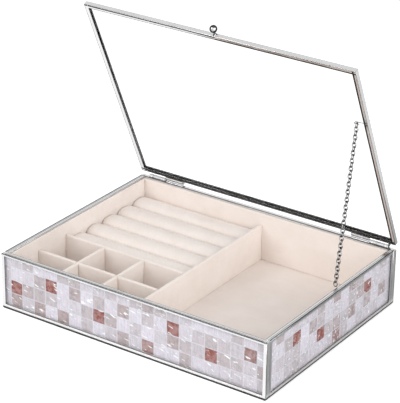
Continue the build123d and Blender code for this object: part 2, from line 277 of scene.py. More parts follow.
def from_middle(tree, place):
    """How far out a place on a tile is, 0 in the middle and 0.5 at the edge, the same all round a square."""
    parts = add_node(tree, "ShaderNodeSeparateXYZ", {0: place}).outputs
    return calculate(tree, "MAXIMUM", calculate(tree, "ABSOLUTE", parts["X"]),
                     calculate(tree, "ABSOLUTE", parts["Z"]))


def blend_colours(tree, share, first, second):
    """A mix of two colours by a share."""
    def four(value):
        return value if isinstance(value, bpy.types.NodeSocket) else (*value, 1)
    return add_node(tree, "ShaderNodeMix", {0: share, 6: four(first), 7: four(second)},
                    data_type="RGBA").outputs[2]


def shaded(tree, tint, value):
    """A colour made darker or lighter by a factor."""
    return made(tree, "ShaderNodeHueSaturation", {"Color": tint, "Value": value})


def ramp_of(tree, value, stops):
    """The colour on a scale of stops."""
    ramp = add_node(tree, "ShaderNodeValToRGB", {"Fac": value})
    elements = ramp.color_ramp.elements
    while len(elements) < len(stops):
        elements.new(0.5)
    for element, (place, tint) in zip(elements, stops):
        element.position = place
        element.color = (*tint, 1)
    return ramp.outputs["Color"]


def new_group(name, kind, inputs, outputs):
    """An empty node group with named sockets, and its input and output nodes."""
    tree = bpy.data.node_groups.new(name, kind)
    for direction, sockets in (("INPUT", inputs), ("OUTPUT", outputs)):
        for label, socket_type, default in sockets:
            socket = tree.interface.new_socket(name=label, in_out=direction,
                                               socket_type="NodeSocket" + socket_type)
            if default is not None:
                socket.default_value = default
    return tree, tree.nodes.new("NodeGroupInput").outputs, tree.nodes.new("NodeGroupOutput")


def mottle_group():
    """Shared shader group: uneven patches at two scales, as a value, and fine relief as a normal."""
    tree, given, result = new_group(
        "Mottle", "ShaderNodeTree",
        (("Vector", "Vector", None), ("Patch Size", "Float", 0.01), ("Grain Size", "Float", 0.001),
         ("Relief", "Float", 0.2)),
        (("Patches", "Float", None), ("Grain", "Float", None), ("Normal", "Vector", None)))
    coarse = made(tree, "ShaderNodeTexNoise", {
        "Vector": given["Vector"], "Scale": calculate(tree, "DIVIDE", 1, given["Patch Size"]),
        "Detail": 3.0, "Roughness": 0.55})
    fine = made(tree, "ShaderNodeTexNoise", {
        "Vector": given["Vector"], "Scale": calculate(tree, "DIVIDE", 1, given["Grain Size"]),
        "Detail": 2.0, "Roughness": 0.6})
    bump = made(tree, "ShaderNodeBump", {"Strength": given["Relief"], "Distance": 0.2 * MM, "Height": fine})
    for label, value in (("Patches", coarse), ("Grain", fine), ("Normal", bump)):
        tree.links.new(value, result.inputs[label])


def stretch_group():
    """Shared shader group: lines of grain drawn out along one direction."""
    tree, given, result = new_group(
        "Drawn Grain", "ShaderNodeTree",
        (("Vector", "Vector", None), ("Turn", "Vector", (0.0, 0.0, 0.0)),
         ("Squeeze", "Vector", (1.0, 1.0, 1.0)), ("Line Size", "Float", 0.001), ("Detail", "Float", 4.0)),
        (("Lines", "Float", None),))
    turned = made(tree, "ShaderNodeMapping", {"Vector": given["Vector"], "Rotation": given["Turn"]})
    drawn = made(tree, "ShaderNodeMapping", {"Vector": turned, "Scale": given["Squeeze"]})
    lines = made(tree, "ShaderNodeTexNoise", {
        "Vector": drawn, "Scale": calculate(tree, "DIVIDE", 1, given["Line Size"]),
        "Detail": given["Detail"], "Roughness": 0.6})
    tree.links.new(lines, result.inputs["Lines"])


def mottled(tree, place, patch, grain, relief):
    """The patches, the grain and the fine relief of a surface."""
    return add_node(tree, "ShaderNodeGroup", {"Vector": place, "Patch Size": patch, "Grain Size": grain,
                                              "Relief": relief},
                    node_tree=bpy.data.node_groups["Mottle"]).outputs


def drawn_grain(tree, place, line, squeeze, turn=(0.0, 0.0, 0.0), detail=4.0):
    """Lines of grain on a surface, of a size, longest where the squeeze is least."""
    return made(tree, "ShaderNodeGroup", {"Vector": place, "Line Size": line, "Squeeze": squeeze,
                                          "Turn": turn, "Detail": detail},
                node_tree=bpy.data.node_groups["Drawn Grain"])


# Materials

def new_material(name, see_through=False):
    """A material with an empty tree, its object coordinates and its output node."""
    material = bpy.data.materials.new(name)
    material.use_nodes = True
    material.use_raytrace_refraction = see_through
    tree = material.node_tree
    tree.nodes.clear()
    coordinates = add_node(tree, "ShaderNodeTexCoord").outputs["Object"]
    return material, tree, coordinates, add_node(tree, "ShaderNodeOutputMaterial")


def surface(tree, output, inputs):
    """The Principled shader of a material, joined to its output."""
    tree.links.new(made(tree, "ShaderNodeBsdfPrincipled", inputs), output.inputs["Surface"])


def metal_material(name, bright, roughness, patch):
    """Silvery metal with cloudy tarnish, fine draw marks and an uneven gloss."""
    material, tree, coordinates, output = new_material(name)
    metal = settings().metal
    mottle = mottled(tree, coordinates, patch, 0.6 * MM, 0.12)
    drawn = drawn_grain(tree, coordinates, 0.5 * MM, (0.06, 0.06, 1.0))
    clouds = remap(tree, mottle["Patches"], 0.35, 0.7, 0.0, 0.3 - bright * 0.25)
    surface(tree, output, {
        "Base Color": blend_colours(tree, clouds, metal.silver, metal.shade), "Metallic": 1.0,
        "Roughness": remap(tree, drawn, 0.3, 0.7, roughness * 0.7, roughness * 1.4),
        "Normal": mottle["Normal"]})
    return material


def seam_and_painted_line_material(name, line):
    """A dark or grey line in the came: the joint where glass comes out of it, and painted reflection and
    painted shade.
    """
    material, tree, coordinates, output = new_material(name)
    mottle = mottled(tree, coordinates, 12 * MM, 0.7 * MM, 0.2)
    tint = blend_colours(tree, times(tree, mottle["Patches"], 0.12), line, settings().metal.shade)
    surface(tree, output, {"Base Color": tint, "Metallic": 0.6, "Roughness": 0.42,
                           "Normal": mottle["Normal"]})
    return material


def round_material(name, clear, dark):
    """Polished nickel for round pieces, with a painted reflection: dark towards their outline, as a round
    mirror is in a pale room.
    """
    material, tree, coordinates, output = new_material(name)
    metal = settings().metal
    mottle = mottled(tree, coordinates, 3 * MM, 0.6 * MM, 0.1)
    facing = add_node(tree, "ShaderNodeLayerWeight", {"Blend": 0.5}).outputs["Facing"]
    # Painted reflection: darker as the surface turns away from the eye, with some unevenness
    uneven = plus(tree, facing, times(tree, minus(tree, mottle["Patches"], 0.5), 0.5))
    outline = remap(tree, uneven, clear, dark)
    surface(tree, output, {
        "Base Color": blend_colours(tree, outline, metal.silver, metal.seam), "Metallic": 1.0,
        "Roughness": remap(tree, mottle["Grain"], 0.3, 0.7, 0.08, 0.2), "Normal": mottle["Normal"]})
    return material


def glass_material(name, tint, gloss):
    """Clear float glass that lets light through to what lies behind it, and shines only a little."""
    material, tree, coordinates, output = new_material(name, see_through=True)
    streaks = drawn_grain(tree, coordinates, 10 * MM, (0.3, 0.3, 0.3))
    pane = made(tree, "ShaderNodeBsdfPrincipled", {
        "Base Color": (*tint, 1), "Roughness": remap(tree, streaks, 0.45, 0.8, 0.0, 0.03), "IOR": gloss,
        "Transmission Weight": 1.0})
    clear = made(tree, "ShaderNodeBsdfTransparent", {"Color": (*tint, 1)})
    path = add_node(tree, "ShaderNodeLightPath").outputs
    passing = calculate(tree, "MAXIMUM", path["Is Shadow Ray"], path["Is Diffuse Ray"])
    mix = made(tree, "ShaderNodeMixShader", {0: passing, 1: pane, 2: clear})
    tree.links.new(mix, output.inputs["Surface"])
    return material


def velvet_material(name, line_turn):
    """Cream velvet: brushed patches of nap in painted sheen, lighter and darker cream, a short pile and a
    soft bloom at its edges.
    """
    material, tree, coordinates, output = new_material(name)
    velvet = settings().velvet
    mottle = mottled(tree, coordinates, 22 * MM, 0.45 * MM, 0.35)
    brushed = drawn_grain(tree, coordinates, 6 * MM, (0.25, 1.0, 0.6), turn=line_turn)
    # Painted sheen: where the brushed nap would catch the light it takes the lighter cream
    nap = plus(tree, times(tree, mottle["Patches"], 0.6), times(tree, brushed, 0.4))
    lean = remap(tree, nap, 0.32, 0.66)
    pile = remap(tree, mottle["Grain"], 0.3, 0.7, 0.9, 1.05)
    surface(tree, output, {
        "Base Color": shaded(tree, blend_colours(tree, lean, velvet.deep, velvet.light), pile),
        "Roughness": 0.95, "Specular IOR Level": 0.15, "Sheen Weight": 0.35, "Sheen Roughness": 0.4,
        "Sheen Tint": (1.0, 0.97, 0.94, 1), "Normal": mottle["Normal"]})
    return material


def felt_material():
    """Black felt under the box."""
    material, tree, coordinates, output = new_material("black_felt")
    mottle = mottled(tree, coordinates, 15 * MM, 0.4 * MM, 0.6)
    tint = blend_colours(tree, mottle["Grain"], colour(22, 22, 24), colour(48, 47, 49))
    surface(tree, output, {"Base Color": tint, "Roughness": 1.0, "Specular IOR Level": 0.1,
                           "Normal": mottle["Normal"]})
    return material


def board_material():
    """Plain grey-brown board, with fibres."""
    material, tree, coordinates, output = new_material("plain_board")
    mottle = mottled(tree, coordinates, 10 * MM, 0.5 * MM, 0.3)
    fibres = drawn_grain(tree, coordinates, 0.8 * MM, (0.2, 0.2, 1.0))
    tint = blend_colours(tree, fibres, colour(168, 158, 148), colour(200, 190, 180))
    surface(tree, output, {"Base Color": tint, "Roughness": 0.85, "Normal": mottle["Normal"]})
    return material


def shell_tint(tree, mosaic, shade, moved, patches):
    """The colour of shell: the tile's shade, growth lines, a play of pink, white flecks of pale shell and
    painted glints, and a pale edge.
    """
    growth = drawn_grain(tree, moved, 1.1 * MM, (1.0, 1.0, 0.12))
    crossed = drawn_grain(tree, moved, 1.6 * MM, (1.0, 1.0, 0.25), turn=(0.0, radians(55), 0.0))
    fleck_and_glint = drawn_grain(tree, moved, 2 * MM, (0.25, 0.8, 1.0), turn=(0.0, radians(-16), 0.0), detail=1.0)
    outwards = from_middle(tree, add_node(
        tree, "ShaderNodeAttribute", attribute_name="tile_place").outputs["Vector"])
    grown = plus(tree, times(tree, growth, 0.6), times(tree, crossed, 0.4))
    depth = remap(tree, grown, 0.36, 0.64, 0.8, 1.12)
    framed = remap(tree, outwards, 0.3, 0.47, 1.0, 0.72)
    rosy = calculate(tree, "GREATER_THAN", shade, 0.9)
    value = times(tree, depth, made(tree, "ShaderNodeMix", {0: rosy, 2: 1.0, 3: framed}))
    tint = shaded(tree, ramp_of(tree, shade, (
        (0.0, mosaic.pale), (0.33, mosaic.lilac), (0.62, mosaic.blush), (0.84, mosaic.dusky),
        (0.97, mosaic.rose))), value)
    tint = blend_colours(tree, remap(tree, patches, 0.4, 0.65, 0.0, 0.3), tint, mosaic.play)
    # White flecks: pale shell, and painted glints where the nacre would catch the light
    tint = blend_colours(tree, remap(tree, fleck_and_glint, 0.65, 0.7), tint, colour(255, 254, 255))
    edge = remap(tree, outwards, 0.466, 0.478, 0.0, 0.75)
    return blend_colours(tree, edge, tint, colour(236, 233, 240))


def shell_material():
    """Polished shell, its pattern shifted from tile to tile."""
    material, tree, coordinates, output = new_material("polished_shell")
    shade = add_node(tree, "ShaderNodeAttribute", attribute_name="shell_shade").outputs["Fac"]
    shift = add_node(tree, "ShaderNodeAttribute", attribute_name="shell_shift").outputs["Vector"]
    moved = made(tree, "ShaderNodeVectorMath", {0: coordinates, 1: shift}, operation="ADD")
    mottle = mottled(tree, moved, 4 * MM, 0.9 * MM, 0.1)
    surface(tree, output, {
        "Base Color": shell_tint(tree, settings().mosaic, shade, moved, mottle["Patches"]),
        "Roughness": remap(tree, mottle["Patches"], 0.3, 0.7, 0.18, 0.42), "Specular IOR Level": 0.35,
        "Coat Weight": 0.15, "Coat Roughness": 0.08, "Normal": mottle["Normal"]})
    return material


def paint(node_names, material):
    """Give nodes that keep their CAD shape a finish."""
    for name in node_names:
        piece = frame["nodes"][name]
        piece.data.materials.clear()
        piece.data.materials.append(material)


# Pieces

def add_object(name, data):
    """A new object in the scene."""
    thing = bpy.data.objects.new(name, data)
    bpy.context.scene.collection.objects.link(thing)
    return thing


def new_piece(name, mesh, body, replaced=(), material=None):
    """A finished piece: linked, given its finish, riding on its body and standing for its nodes."""
    piece = add_object(name, mesh)
    if material is not None:
        mesh.materials.clear()
        mesh.materials.append(material)
    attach(piece, body)
    if replaced:
        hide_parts(*replaced)
    return piece


def mesh_from(shape, name, sharp_from=radians(40), flat=()):
    """A mesh from edited geometry, shaded smooth except across its sharp edges and on its flat faces."""
    for face in shape.faces:
        face.smooth = face not in flat
    for edge in shape.edges:
        edge.smooth = len(edge.link_faces) != 2 or edge.calc_face_angle(0) < sharp_from
    mesh = bpy.data.meshes.new(name)
    shape.to_mesh(mesh)
    shape.free()
    return mesh


def merged_copy(node_name):
    """The geometry of a CAD node with its points merged and its flat faces made whole."""
    shape = bmesh.new()
    shape.from_mesh(frame["nodes"][node_name].data)
    bmesh.ops.remove_doubles(shape, verts=shape.verts, dist=MERGE)
    bmesh.ops.dissolve_limit(shape, angle_limit=radians(1), verts=shape.verts, edges=shape.edges)
    return shape


def round_edges(shape, angle, radius, segments):
    """Round the edges where two faces meet at more than an angle."""
    sharp = [edge for edge in shape.edges if len(edge.link_faces) == 2 and edge.calc_face_angle(0) > angle]
    bmesh.ops.bevel(shape, geom=sharp, offset=radius, segments=segments, profile=0.5, affect="EDGES",
                    clamp_overlap=True)


def plain_mesh(carrier, **options):
    """The mesh that an object shows."""
    bpy.context.view_layer.update()
    depsgraph = bpy.context.evaluated_depsgraph_get()
    return bpy.data.meshes.new_from_object(carrier.evaluated_get(depsgraph), depsgraph=depsgraph, **options)


def evaluated_mesh(mesh, tree, inputs):
    """The plain mesh that a Geometry Nodes tree makes from a mesh."""
    carrier = add_object("carrier", mesh)
    modifier = carrier.modifiers.new("Nodes", "NODES")
    modifier.node_group = tree
    sockets = {item.name: item.identifier for item in tree.interface.items_tree
               if item.item_type == "SOCKET" and item.in_out == "INPUT"}
    for name, value in inputs.items():
        modifier[sockets[name]] = value
    result = plain_mesh(carrier, preserve_all_data_layers=True)
    carrier.modifiers.remove(modifier)
    bpy.data.objects.remove(carrier)
    if not result.vertices:
        raise RuntimeError(tree.name + " made nothing")
    return result


def lid_turn():
    """The turn about the hinge that carries the shut lid to its open place."""
    joint = JOINTS["lid_hinge"]
    pivot = Matrix.Translation(joint["pos_m"])
    return pivot @ Matrix.Rotation(-radians(joint["range_deg"][1]), 4, "X") @ pivot.inverted()


# Metal came

def reach(shape, direction):
    """How far geometry goes in a direction."""
    return max(vertex.co.dot(direction) for vertex in shape.verts)


def outer_faces(shape, direction, depth):
    """A test for the faces that look in a direction and lie within a depth of the outermost one."""
    edge = reach(shape, direction) - depth
    return lambda face: face.normal.dot(direction) > 0.9 and face.calc_center_median().dot(direction) > edge


def mark_strips(shape, chosen, directions, strips, finish=SEAM_AND_PAINTED_DARK):
    """Give strips of the chosen faces a finish, each between two depths from the geometry's edge."""
    sides = [(direction, reach(shape, direction)) for direction in directions]
    depths = sorted({depth for strip in strips for depth in strip if depth > 0})
    for direction, edge in sides:
        for depth in depths:
            parts = set()
            for face in filter(chosen, shape.faces):
                parts.update([face], face.edges, face.verts)
            bmesh.ops.bisect_plane(shape, geom=list(parts), plane_co=direction * (edge - depth),
                                   plane_no=direction, dist=0.001 * MM)
    for face in filter(chosen, shape.faces):
        middle = face.calc_center_median()
        depth = min(edge - middle.dot(direction) for direction, edge in sides)
        if any(near < depth < far for near, far in strips):
            face.material_index = finish


def mark_wall(shape, outward, metal):
    """A wall's dark lines, painted reflection with the glass joint: along the rim, under it, down the
    corners; a grey band of painted reflection mid-rim. The back's rim has one, inside.
    """
    width = metal.fold_width
    along = outward.cross(UP)
    thickness = reach(shape, outward) + reach(shape, -outward)
    end = reach(shape, along) - 0.1 * MM
    on_rim = outer_faces(shape, UP, 0.3 * MM)
    on_face = outer_faces(shape, outward, 0.1 * MM)

    def on_end(face):
        return abs(face.normal.dot(along)) > 0.9 and abs(face.calc_center_median().dot(along)) > end

    if outward == OUTWARD["back"]:
        mark_strips(shape, on_rim, (outward,), ((thickness - 3.2 * width, thickness),))
    else:
        mark_strips(shape, on_rim, (outward,), ((0, 2.6 * width), (thickness - width, thickness)))
        middle = ((thickness - width) / 2, (thickness + width) / 2)
        mark_strips(shape, on_rim, (outward,), (middle,), finish=PAINTED_REFLECTION_BAND)
    mark_strips(shape, on_face, (UP,), ((0, 1.2 * width),))
    mark_strips(shape, on_face, (along, -along), ((0, width if outward.x else 0.4 * width),))
    mark_strips(shape, on_end, (outward,), ((0, 1.6 * width),))


def mark_base(shape, metal):
    """A dark line at the foot of the bottom's came: painted shadow where it stands on the felt."""
    mark_strips(shape, lambda face: abs(face.normal.z) < 0.3, (-UP,), ((0, 2.8 * metal.fold_width),))


def mark_lid(shape, metal):
    """Dark lines round the shut lid's frame, painted reflection that differs from rail to rail: along its
    outer edge, and where the pane comes out, with the joint there.
    """
    width = metal.fold_width
    lip = metal.lid_lip
    front, back, left, right = (OUTWARD[side] for side in ("front", "back", "left", "right"))
    outer = [(side, reach(shape, side) - 0.1 * MM) for side in OUTWARD.values()]

    def on_lip(face):
        return abs(face.normal.z) > 0.9

    def lip_at(side):
        inner = reach(shape, side) - lip
        return lambda face: on_lip(face) and face.calc_center_median().dot(side) > inner

    def on_edge(face):
        middle = face.calc_center_median()
        return abs(face.normal.z) < 0.3 and any(middle.dot(side) > edge for side, edge in outer)

    on_front = lip_at(front)
    half = reach(shape, right)

    def on_front_right(face):
        return on_front(face) and face.calc_center_median().x > 0

    # Painted reflection: dark strips laid, and taken off again, rail by rail and on the front rail's right
    # half
    mark_strips(shape, on_lip, tuple(OUTWARD.values()), ((0, width), (lip - width, lip)))
    mark_strips(shape, on_lip, (front,), ((0, 3 * width),))
    mark_strips(shape, on_lip, (left,), ((lip - width, lip),), finish=PLAIN)
    mark_strips(shape, on_lip, (back,), ((0, 1.6 * width), (lip - 3.2 * width, lip)))
    mark_strips(shape, on_front, (right,), ((0, half),), finish=PLAIN)
    mark_strips(shape, on_front_right, (front,), ((0, 1.2 * width), (lip - 2.6 * width, lip)))
    mark_strips(shape, on_front_right, (front,), ((1.2 * width, lip - 2.6 * width),), finish=PLAIN)
    mark_strips(shape, lip_at(right), (right,), ((lip - 3 * width, lip),))
    mark_strips(shape, on_edge, (UP, -UP), ((0, 0.6 * width),))


def is_lip_edge(face):
    """Whether a face is long and narrow, as the edge of a sheet is."""
    sides = sorted(edge.calc_length() for edge in face.edges)
    return sides[0] < 1.2 * MM and sides[-1] > 20 * MM


def dressed_came(node_name, body, finishes, outward):
    """A came with rounded folds, dark lips where the glass comes out, and dark lines and a grey band of
    painted reflection and painted shade.
    """
    metal = settings().metal
    on_lid = body == "lid"
    shape = merged_copy(node_name)
    round_edges(shape, radians(50), metal.edge, 2)
    place = lid_turn() if on_lid else Matrix.Identity(4)
    shut = place.inverted()
    bmesh.ops.transform(shape, matrix=shut, verts=shape.verts)
    shape.normal_update()
    low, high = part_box(node_name)
    centre = shut @ ((low + high) / 2)
    # Lip edges: on the lid the dark joint with painted reflection, on the walls a grey of painted reflection
    lip_finish = SEAM_AND_PAINTED_DARK if on_lid else PAINTED_REFLECTION_BAND
    for face in shape.faces:
        across = abs(face.normal.dot(outward)) < 0.3
        inwards = (face.calc_center_median() - centre).dot(face.normal) < 0
        face.material_index = lip_finish if across and inwards and is_lip_edge(face) else PLAIN
    if on_lid:
        mark_lid(shape, metal)
    elif outward == UP:
        mark_base(shape, metal)
    else:
        mark_wall(shape, outward, metal)
    bmesh.ops.transform(shape, matrix=place, verts=shape.verts)
    flat = {face for face in shape.faces if max(abs(part) for part in shut.to_3x3() @ face.normal) > 0.999}
    mesh = mesh_from(shape, node_name, sharp_from=radians(60), flat=flat)
    for finish in finishes:
        mesh.materials.append(finish)
    new_piece("dressed_" + node_name, mesh, body, (node_name,))


class JEWELRYBOX_OT_came(bpy.types.Operator):
    """Dress the soldered came of the walls, the bottom and the lid"""
    bl_idname = "jewelrybox.came"
    bl_label = "Metal Came"

    def execute(self, context):
        metal = settings().metal
        finishes = [metal_material("bright_came", 0.7, 0.16, 30 * MM), seam_and_painted_line_material("came_seam_and_painted_dark", metal.seam),
                    seam_and_painted_line_material("came_painted_reflection_band", metal.painted_reflection_grey)]
        for wall, outward in OUTWARD.items():
            dressed_came(wall + "_came", "box", finishes, outward)
        dressed_came("base_came", "box", finishes, UP)
        dressed_came("lid_came", "lid", finishes, UP)
        return {"FINISHED"}


class JEWELRYBOX_OT_hinges(bpy.types.Operator):
    """Finish the knuckles and pins of the tube hinges"""
    bl_idname = "jewelrybox.hinges"
    bl_label = "Tube Hinges"

    def execute(self, context):
        paint([name for name in frame["nodes"] if "hinge" in name], round_material("tube_nickel", 0.12, 0.75))
        return {"FINISHED"}


def knob_profile(knob):
    """Half outline of the knob, as radius and height over the rail: foot, flare, stem and ball."""
    flare_foot, flare_height = 0.45 * MM, 1.3 * MM
    waist = knob.foot * 0.86
    profile = [(0, 0), (knob.foot, 0), (knob.foot * 0.97, 0.25 * MM), (waist, flare_foot)]
    for step in range(1, 6):
        fall = pi / 2 * step / 6
        profile.append((knob.stem + (waist - knob.stem) * (1 - sin(fall)),
                        flare_foot + flare_height * (1 - cos(fall))))
    neck = asin(knob.stem / knob.ball)
    profile.append((knob.stem, knob.reach - knob.ball * cos(neck) - 0.15 * MM))
    bands = 18
    for band in range(bands + 1):
        angle = neck + (pi - neck) * band / bands
        profile.append((knob.ball * sin(angle), knob.reach - knob.ball * cos(angle)))
    return profile


class JEWELRYBOX_OT_knob(bpy.types.Operator):
    """Turn the polished ball knob with its waisted stem and flared foot"""
    bl_idname = "jewelrybox.knob"
    bl_label = "Ball Knob"

    def execute(self, context):
        shape = bmesh.new()
        points = [shape.verts.new((radius, 0, height)) for radius, height in knob_profile(settings().knob)]
        edges = [shape.edges.new(pair) for pair in zip(points, points[1:])]
        bmesh.ops.spin(shape, geom=points + edges, cent=(0, 0, 0), axis=UP, dvec=(0, 0, 0), angle=2 * pi,
                       steps=40, use_duplicate=False)
        bmesh.ops.remove_doubles(shape, verts=shape.verts, dist=MERGE)
        bmesh.ops.recalc_face_normals(shape, faces=shape.faces)
        shut = lid_turn().inverted()
        corners = [shut @ vertex.co for vertex in frame["nodes"]["lid_came"].data.vertices]
        heights = [corner.z for corner in corners]
        rail = (0, min(corner.y for corner in corners), (min(heights) + max(heights)) / 2)
        place = lid_turn() @ Matrix.Translation(rail) @ Matrix.Rotation(pi / 2, 4, "X")
        bmesh.ops.transform(shape, matrix=place, verts=shape.verts)
        new_piece("ball_knob", mesh_from(shape, "ball_knob"), "lid", ("lid_knob",),
                  round_material("round_nickel", -0.05, 0.26))
        return {"FINISHED"}


# Glass and bottom

class JEWELRYBOX_OT_glass(bpy.types.Operator):
    """Finish the panes of the walls and the lid"""
    bl_idname = "jewelrybox.glass"
    bl_label = "Glass"

    def execute(self, context):
        paint([wall + "_glass" for wall in WALLS], glass_material("wall_glass", (0.985, 0.99, 0.99), 1.22))
        paint(["lid_glass"], glass_material("lid_pane", (0.996, 0.998, 0.997), 1.1))
        return {"FINISHED"}


class JEWELRYBOX_OT_bottom(bpy.types.Operator):
    """Finish the felt, the base board and the boards behind the mosaic"""
    bl_idname = "jewelrybox.bottom"
    bl_label = "Bottom and Backing"

    def execute(self, context):
        paint(["base_felt"], felt_material())
        paint(["base_board"] + [wall + "_backing" for wall in WALLS], board_material())
        return {"FINISHED"}


# Shell mosaic

def mosaic_tree():
    """Geometry Nodes: one pillowed tile on each point, leaning a little, at its own size."""
    tree, given, result = new_group(
        "Shell Mosaic", "GeometryNodeTree",
        (("Geometry", "Geometry", None), ("Turn", "Float", 0.0), ("Tilt", "Float", 0.005),
         ("Pillow", "Float", 0.1), ("Seed", "Int", 0), ("Shell", "Material", None)),
        (("Geometry", "Geometry", None),))
    cube = made(tree, "GeometryNodeMeshCube", {"Size": (1, 1, 1), "Vertices X": 7, "Vertices Y": 2,
                                               "Vertices Z": 7})
    position = made(tree, "GeometryNodeInputPosition")
    fall = calculate(tree, "POWER", times(tree, from_middle(tree, position), 2.0), 7.0)
    is_face = calculate(tree, "LESS_THAN", add_node(
        tree, "ShaderNodeSeparateXYZ", {0: position}).outputs["Y"], 0.0)
    marked = made(tree, "GeometryNodeStoreNamedAttribute", {
        "Geometry": cube, "Name": "tile_place", "Value": position}, data_type="FLOAT_VECTOR")
    drop = times(tree, times(tree, fall, given["Pillow"]), is_face)
    tile = made(tree, "GeometryNodeSetPosition", {"Geometry": marked, "Offset": vector(tree, Y=drop)})
    size = made(tree, "GeometryNodeInputNamedAttribute", {"Name": "tile_size"}, data_type="FLOAT_VECTOR")
    low, high = (made(tree, "ShaderNodeVectorMath", {0: most, "Scale": given["Tilt"]}, operation="SCALE")
                 for most in ((-1, -0.2, -1), (1, 0.2, 1)))
    lean = made(tree, "FunctionNodeRandomValue", {0: low, 1: high, "Seed": given["Seed"]},
                data_type="FLOAT_VECTOR")
    angle = made(tree, "ShaderNodeVectorMath", {0: lean, 1: vector(tree, Z=given["Turn"])}, operation="ADD")
    placed = made(tree, "GeometryNodeInstanceOnPoints", {
        "Points": given["Geometry"], "Instance": tile, "Rotation": angle, "Scale": size})
    real = made(tree, "GeometryNodeRealizeInstances", {"Geometry": placed})
    flat = made(tree, "GeometryNodeSetShadeSmooth", {"Geometry": real, "Shade Smooth": False})
    done = made(tree, "GeometryNodeSetMaterial", {"Geometry": flat, "Material": given["Shell"]})
    tree.links.new(done, result.inputs["Geometry"])
    return tree


def joint_lines(start, end, first, pitch, joint):
    """Where the joints lie between two ends."""
    lines = [start]
    line = start + first
    while line < end - joint:
        lines.append(line)
        line += pitch
    return lines + [end]


def tile_shade(wall, column, row, chance):
    """A tile's place on the scale from pale to rose brown."""
    for span, tiles in MARKED_TILES:
        if (column, row) in tiles.get(wall, ()):
            return chance.uniform(*span)
    if wall in ("back", "left") and chance.random() < ROSE_CHANCE:
        return 1.0
    return USUAL_SHADE * chance.random() ** 1.15


def wall_points(wall, mosaic):
    """A point mesh with one point for each tile of a wall, its size, shade and pattern shift."""
    low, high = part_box(wall + "_shell_tiles")
    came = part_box(wall + "_came")[1]
    outward = OUTWARD[wall]
    along = Vector((-outward.y, outward.x, 0))
    joint = mosaic.joint
    thickness = abs((high - low).dot(outward)) - mosaic.setback
    depth = (high if outward.x + outward.y > 0 else low).dot(outward) - mosaic.setback - thickness / 2
    half, came_half, cut = ((high.x, came.x, mosaic.front_cut) if outward.y else
                            (high.y, came.y, mosaic.side_cut))
    first = cut - (came_half - half) + joint / 2
    columns = joint_lines(-half - joint / 2, half + joint / 2, first, mosaic.pitch, joint)
    rows = joint_lines(mosaic.first_row, high.z + joint / 2, mosaic.pitch, mosaic.pitch, joint)
    chance = Random(mosaic.seed + WALLS.index(wall))
    places, sizes, shades, shifts = [], [], [], []
    for column, (left, right) in enumerate(zip(columns, columns[1:])):
        for row, (foot, top) in enumerate(zip(rows, rows[1:])):
            places.append(outward * depth + along * (left + right) / 2 + Vector((0, 0, (foot + top) / 2)))
            sizes.append((right - left - joint, thickness, top - foot - joint))
            shades.append(tile_shade(wall, column, row, chance))
            shifts.append(tuple(chance.uniform(-1, 1) for _ in range(3)))
    mesh = bpy.data.meshes.new(wall + "_tile_points")
    mesh.from_pydata(places, [], [])
    for label, kind, key, values in (("tile_size", "FLOAT_VECTOR", "vector", sizes),
                                     ("shell_shade", "FLOAT", "value", shades),
                                     ("shell_shift", "FLOAT_VECTOR", "vector", shifts)):
        attribute = mesh.attributes.new(label, kind, "POINT")
        for item, value in zip(attribute.data, values):
            setattr(item, key, value)
    return mesh, atan2(outward.x, -outward.y)


class JEWELRYBOX_OT_mosaic(bpy.types.Operator):
    """Lay the shell tiles behind the glass of the four walls"""
    bl_idname = "jewelrybox.mosaic"
    bl_label = "Shell Mosaic"

    def execute(self, context):
        mosaic = settings().mosaic
        shell = shell_material()
        tree = mosaic_tree()
        for wall in WALLS:
            points, turn = wall_points(wall, mosaic)
            mesh = evaluated_mesh(points, tree, {"Turn": turn, "Tilt": mosaic.tilt, "Pillow": PILLOW,
                                                 "Seed": mosaic.seed, "Shell": shell})
            new_piece(wall + "_mosaic", mesh, "box", (wall + "_shell_tiles",))
        return {"FINISHED"}


# Velvet lining

def slice_up(shape, low, high, cell):
    """Cut geometry into cells so that its surface can bend."""
    for axis in range(3):
        length = high[axis] - low[axis]
        cuts = max(1, round(length / cell))
        normal = Vector([float(axis == other) for other in range(3)])
        for number in range(1, cuts):
            bmesh.ops.bisect_plane(shape, geom=shape.verts[:] + shape.edges[:] + shape.faces[:],
                                   plane_co=low + normal * (length * number / cuts), plane_no=normal,
                                   dist=0.02 * MM)


def sink_velvet(shape, depth, wave):
    """Let the surface dip unevenly, never rise."""
    shape.normal_update()
    moves = {}
    for vertex in shape.verts:
        height = noise.noise(vertex.co / wave) * 0.5 + noise.noise(vertex.co * 2.7 / wave) * 0.25 + 0.5
        moves[vertex] = -vertex.normal * depth * min(1, max(0, height))
    for vertex, move in moves.items():
        vertex.co += move


def covered_board(node_name, velvet):
    """A board wrapped in velvet: folded edges, and a surface that isn't quite flat."""
    shape = merged_copy(node_name)
    round_edges(shape, radians(45), velvet.corner, 3)
    slice_up(shape, *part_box(node_name), velvet.cell)
    sink_velvet(shape, velvet.sink, 14 * MM)
    return mesh_from(shape, "velvet_" + node_name, sharp_from=radians(75))


class JEWELRYBOX_OT_lining(bpy.types.Operator):
    """Cover the lining and the dividers with velvet"""
    bl_idname = "jewelrybox.lining"
    bl_label = "Velvet Lining"

    def execute(self, context):
        cloth = velvet_material("cream_velvet", (0.0, 0.0, 0.0))
        for node_name in BOARDS:
            mesh = covered_board(node_name, settings().velvet)
            new_piece("velvet_" + node_name, mesh, "box", (node_name,), cloth)
        return {"FINISHED"}


